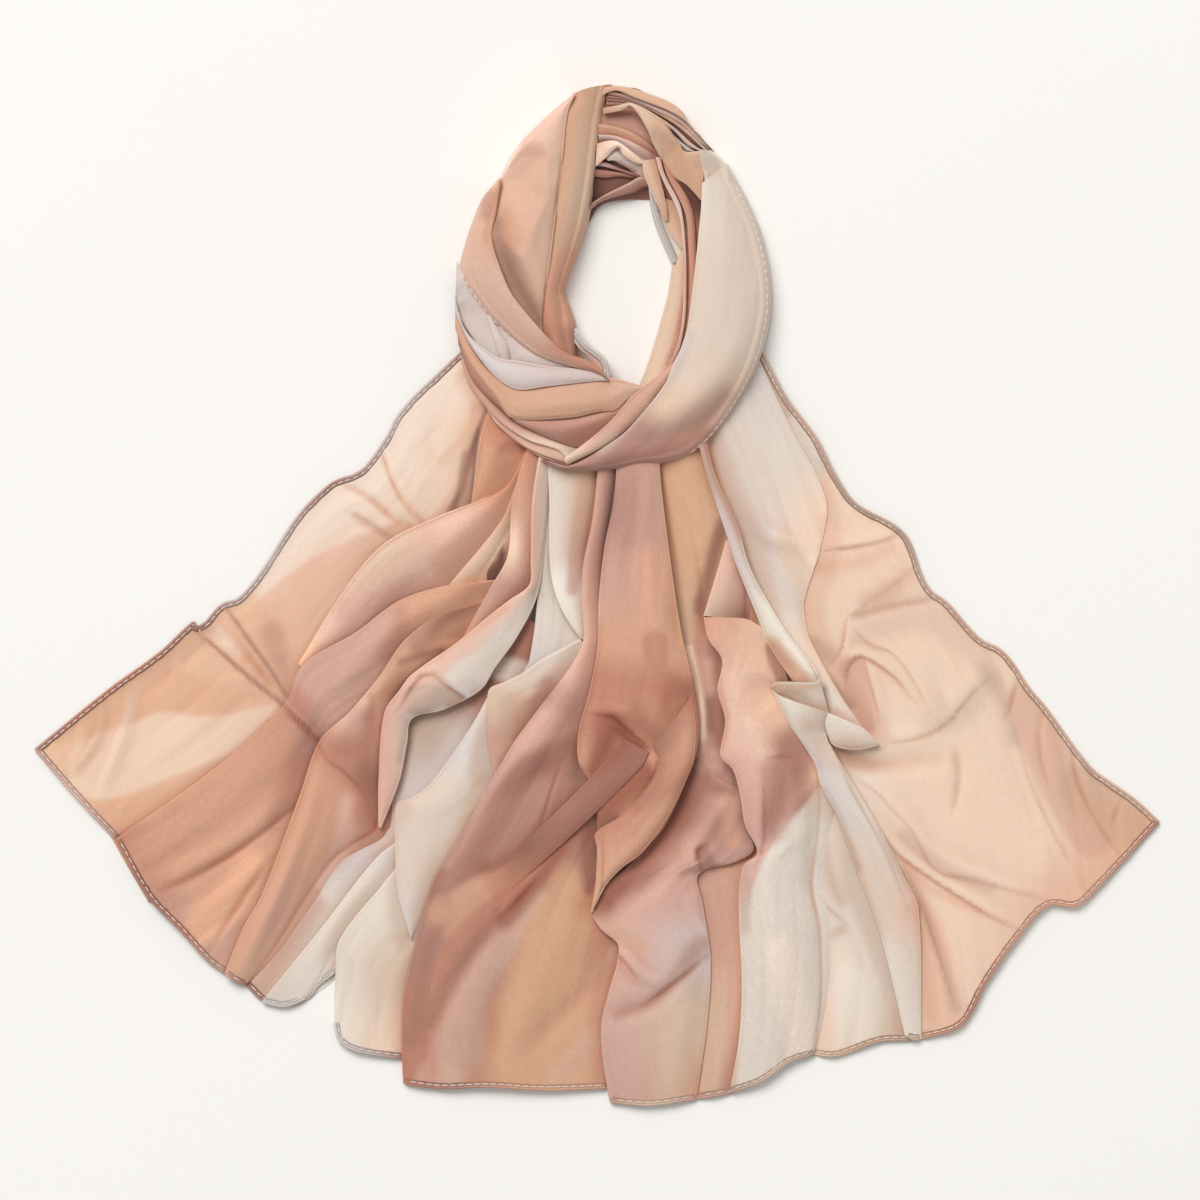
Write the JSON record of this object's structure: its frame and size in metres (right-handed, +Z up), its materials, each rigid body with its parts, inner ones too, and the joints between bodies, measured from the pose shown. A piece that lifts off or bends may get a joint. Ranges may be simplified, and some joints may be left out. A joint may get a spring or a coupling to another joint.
{
  "type": "chiffon scarf",
  "caption": "Long sheer scarf with soft blended colour bands, wound once into a ring and laid flat, its two ends fanned out in folds.",
  "frame": {"origin": "centre of the bounding box in plan, on the surface that the scarf lies on", "axes": "+Y from the fanned ends towards the ring's neck side, +X across the fan, +Z up from the surface"},
  "size_m": [0.73, 0.662, 0.0298],
  "materials": {
    "chiffon_cream": "cream crepe chiffon, matt and slightly sheer",
    "chiffon_lilac": "grey-lilac crepe chiffon, matt and slightly sheer",
    "chiffon_terracotta": "terracotta crepe chiffon, matt and slightly sheer",
    "chiffon_tan": "tan crepe chiffon, matt and slightly sheer",
    "chiffon_rose": "dusty rose crepe chiffon, matt and slightly sheer",
    "chiffon_peach": "pale peach crepe chiffon, matt and sheer"
  },
  "bodies": {
    "root": {"centre_main": "chiffon_rose", "centre_tail": "chiffon_rose", "collar_fold": "chiffon_tan", "cream_fold": "chiffon_cream", "cream_gore_left": "chiffon_cream", "cream_gore_right": "chiffon_cream", "cream_turn": "chiffon_cream", "inner_hem_edge": "chiffon_cream", "inner_rose_strand": "chiffon_rose", "inner_tan_strand": "chiffon_tan", "left_brown_fold": "chiffon_terracotta", "left_cream_panel": "chiffon_cream", "left_cream_strip": "chiffon_cream", "left_drop_inner": "chiffon_tan", "left_drop_outer": "chiffon_peach", "left_flap": "chiffon_peach", "left_lilac_under": "chiffon_lilac", "left_outer_wrap": "chiffon_terracotta", "left_peach_roll": "chiffon_peach", "left_wide_band": "chiffon_terracotta", "lilac_lower": "chiffon_lilac", "lilac_panel": "chiffon_lilac", "lilac_upper": "chiffon_lilac", "neck_grey_layer": "chiffon_cream", "neck_low_band": "chiffon_terracotta", "neck_mauve_layer": "chiffon_terracotta", "neck_orange_layer": "chiffon_tan", "neck_outer_layer": "chiffon_tan", "neck_peach_lobe": "chiffon_peach", "neck_thin_layers": "chiffon_cream", "opening_flap": "chiffon_cream", "peach_step": "chiffon_rose", "peach_triangle": "chiffon_peach", "ridge_fold": "chiffon_lilac", "right_band": "chiffon_cream", "right_cream_layer": "chiffon_cream", "right_cream_long": "chiffon_cream", "right_cream_under": "chiffon_cream", "right_flap": "chiffon_peach", "right_leaf": "chiffon_cream", "right_roll": "chiffon_cream", "ring_core": "chiffon_rose", "rose_strip": "chiffon_rose", "short_rose_fold": "chiffon_rose", "tan_strip": "chiffon_tan", "wrap_fold_last": "chiffon_tan", "wrap_fold_lower": "chiffon_tan", "wrap_fold_middle": "chiffon_tan", "wrap_fold_upper": "chiffon_tan"}
  },
  "joints": []
}
